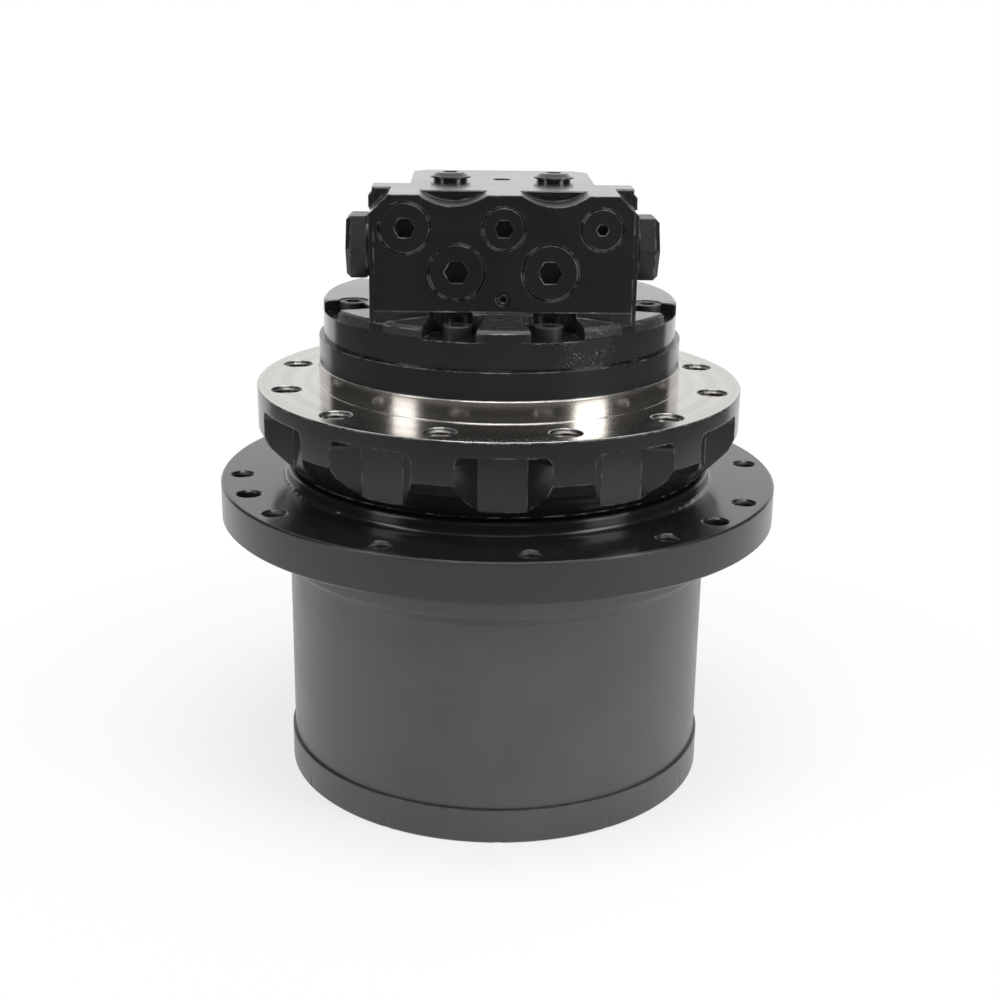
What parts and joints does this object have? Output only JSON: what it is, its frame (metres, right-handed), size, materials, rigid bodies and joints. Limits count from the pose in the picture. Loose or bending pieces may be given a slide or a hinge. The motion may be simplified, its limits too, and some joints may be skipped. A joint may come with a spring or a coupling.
{
  "type": "excavator final drive",
  "caption": "Planetary travel drive: sprocket hub with internal ring gear on a flanged spindle, hydraulic motor with brake inside, valve block with plugs on the rear flange.",
  "frame": {"origin": "centre of the end cover's outer face, on which the drive stands", "axes": "+Z along the drive's axis from the end cover towards the valve block; the valve block's plugged face looks along -Y"},
  "size_m": [0.33, 0.33, 0.3604],
  "materials": {
    "black_paint": "gloss black paint over casting",
    "dark_casting": "semi gloss dark grey paint on turned casting",
    "gear_steel": "ground, oiled",
    "black_screw": "blackened steel",
    "bronze": "satin",
    "rubber": "matt",
    "friction": "sintered friction lining"
  },
  "bodies": {
    "spindle_side": {"spindle": "black_paint", "bearing_nut": "gear_steel", "bearing_inner_race_lower": "gear_steel", "bearing_inner_race_upper": "gear_steel", "seal_ring_spindle": "gear_steel", "seal_toric_spindle": "rubber", "planet_pins_2": "gear_steel", "thrust_washers_2": "bronze", "needle_bearings_2": "gear_steel", "swash_plate": "gear_steel", "swash_pivots": "gear_steel", "control_piston": "gear_steel", "shaft_bearings": "gear_steel", "shaft_seal": "rubber", "steel_plates": "gear_steel", "brake_spring": "gear_steel", "valve_plate": "bronze", "rear_flange": "black_paint", "rear_flange_screws": "black_screw", "plug_upper_left": "black_paint", "plug_upper_middle": "black_paint", "plug_upper_right": "black_paint", "plug_gauge": "black_paint", "plugs_lower": "black_paint", "plugs_top": "black_paint", "spool_caps": "black_paint", "spool_springs": "gear_steel"},
    "hub": {"hub_housing": "dark_casting", "end_cover": "dark_casting", "cover_screws": "black_screw", "cover_seal": "rubber", "oil_plugs": "dark_casting", "sun_thrust_pad": "bronze", "bearing_outer_race_lower": "gear_steel", "bearing_outer_race_upper": "gear_steel", "seal_ring_hub": "gear_steel", "seal_toric_hub": "rubber"},
    "bearing_rollers": {"bearing_rollers": "gear_steel"},
    "carrier": {"carrier_1": "gear_steel", "sun_2": "gear_steel", "planet_pins_1": "gear_steel", "thrust_washers_1": "bronze", "needle_bearings_1": "gear_steel"},
    "motor_rotor": {"sun_shaft": "gear_steel", "coupling_sleeve": "gear_steel", "motor_shaft": "gear_steel", "cylinder_block": "gear_steel", "pistons": "gear_steel", "slippers": "bronze", "retainer_plate": "gear_steel", "block_spring": "gear_steel", "friction_discs": "friction"},
    "brake_piston": {"brake_piston": "gear_steel"},
    "spool": {"counterbalance_spool": "gear_steel"},
    "planet_1a": {"planet_1a": "gear_steel"},
    "planet_2a": {"planet_2a": "gear_steel"},
    "planet_1b": {"planet_1b": "gear_steel"},
    "planet_2b": {"planet_2b": "gear_steel"},
    "planet_1c": {"planet_1c": "gear_steel"},
    "planet_2c": {"planet_2c": "gear_steel"}
  },
  "joints": [
    {"name": "hub_spin", "type": "hinge", "parent": "spindle_side", "child": "hub", "pos_m": [0, 0, 0.1], "axis": [0, 0, 1], "continuous": true},
    {"name": "carrier_spin", "type": "hinge", "parent": "spindle_side", "child": "carrier", "pos_m": [0, 0, 0.0533], "axis": [0, 0, 1], "continuous": true},
    {"name": "rotor_spin", "type": "hinge", "parent": "spindle_side", "child": "motor_rotor", "pos_m": [0, 0, 0.2], "axis": [0, 0, 1], "continuous": true},
    {"name": "roller_spin", "type": "hinge", "parent": "spindle_side", "child": "bearing_rollers", "pos_m": [0, 0, 0.128], "axis": [0, 0, 1], "continuous": true},
    {"name": "planet_2a_spin", "type": "hinge", "parent": "spindle_side", "child": "planet_2a", "pos_m": [0, 0.0675, 0.078], "axis": [0, 0, 1], "continuous": true},
    {"name": "planet_1a_spin", "type": "hinge", "parent": "carrier", "child": "planet_1a", "pos_m": [-0.05456, 0.0315, 0.035], "axis": [0, 0, 1], "continuous": true},
    {"name": "planet_2b_spin", "type": "hinge", "parent": "spindle_side", "child": "planet_2b", "pos_m": [-0.05846, -0.03375, 0.078], "axis": [0, 0, 1], "continuous": true},
    {"name": "planet_1b_spin", "type": "hinge", "parent": "carrier", "child": "planet_1b", "pos_m": [0, -0.063, 0.035], "axis": [0, 0, 1], "continuous": true},
    {"name": "planet_2c_spin", "type": "hinge", "parent": "spindle_side", "child": "planet_2c", "pos_m": [0.05846, -0.03375, 0.078], "axis": [0, 0, 1], "continuous": true},
    {"name": "planet_1c_spin", "type": "hinge", "parent": "carrier", "child": "planet_1c", "pos_m": [0.05456, 0.0315, 0.035], "axis": [0, 0, 1], "continuous": true},
    {"name": "brake_release", "type": "slide", "parent": "spindle_side", "child": "brake_piston", "axis": [0, 0, 1], "range_m": [0, 0.0015], "stiffness_N_per_m": 20000, "springref_m": -0.02, "deforming": ["brake_spring"]},
    {"name": "spool_shift", "type": "slide", "parent": "spindle_side", "child": "spool", "axis": [1, 0, 0], "range_m": [-0.005, 0.005], "stiffness_N_per_m": 5000}
  ],
  "couplings": [
    {"joint": "carrier_spin", "follows": "hub_spin", "ratio": -4},
    {"joint": "rotor_spin", "follows": "hub_spin", "ratio": -34},
    {"joint": "roller_spin", "follows": "hub_spin", "ratio": 0.525},
    {"joint": "planet_2a_spin", "follows": "hub_spin", "ratio": 2.6667},
    {"joint": "planet_1a_spin", "follows": "hub_spin", "ratio": 12},
    {"joint": "planet_2b_spin", "follows": "hub_spin", "ratio": 2.6667},
    {"joint": "planet_1b_spin", "follows": "hub_spin", "ratio": 12},
    {"joint": "planet_2c_spin", "follows": "hub_spin", "ratio": 2.6667},
    {"joint": "planet_1c_spin", "follows": "hub_spin", "ratio": 12}
  ]
}
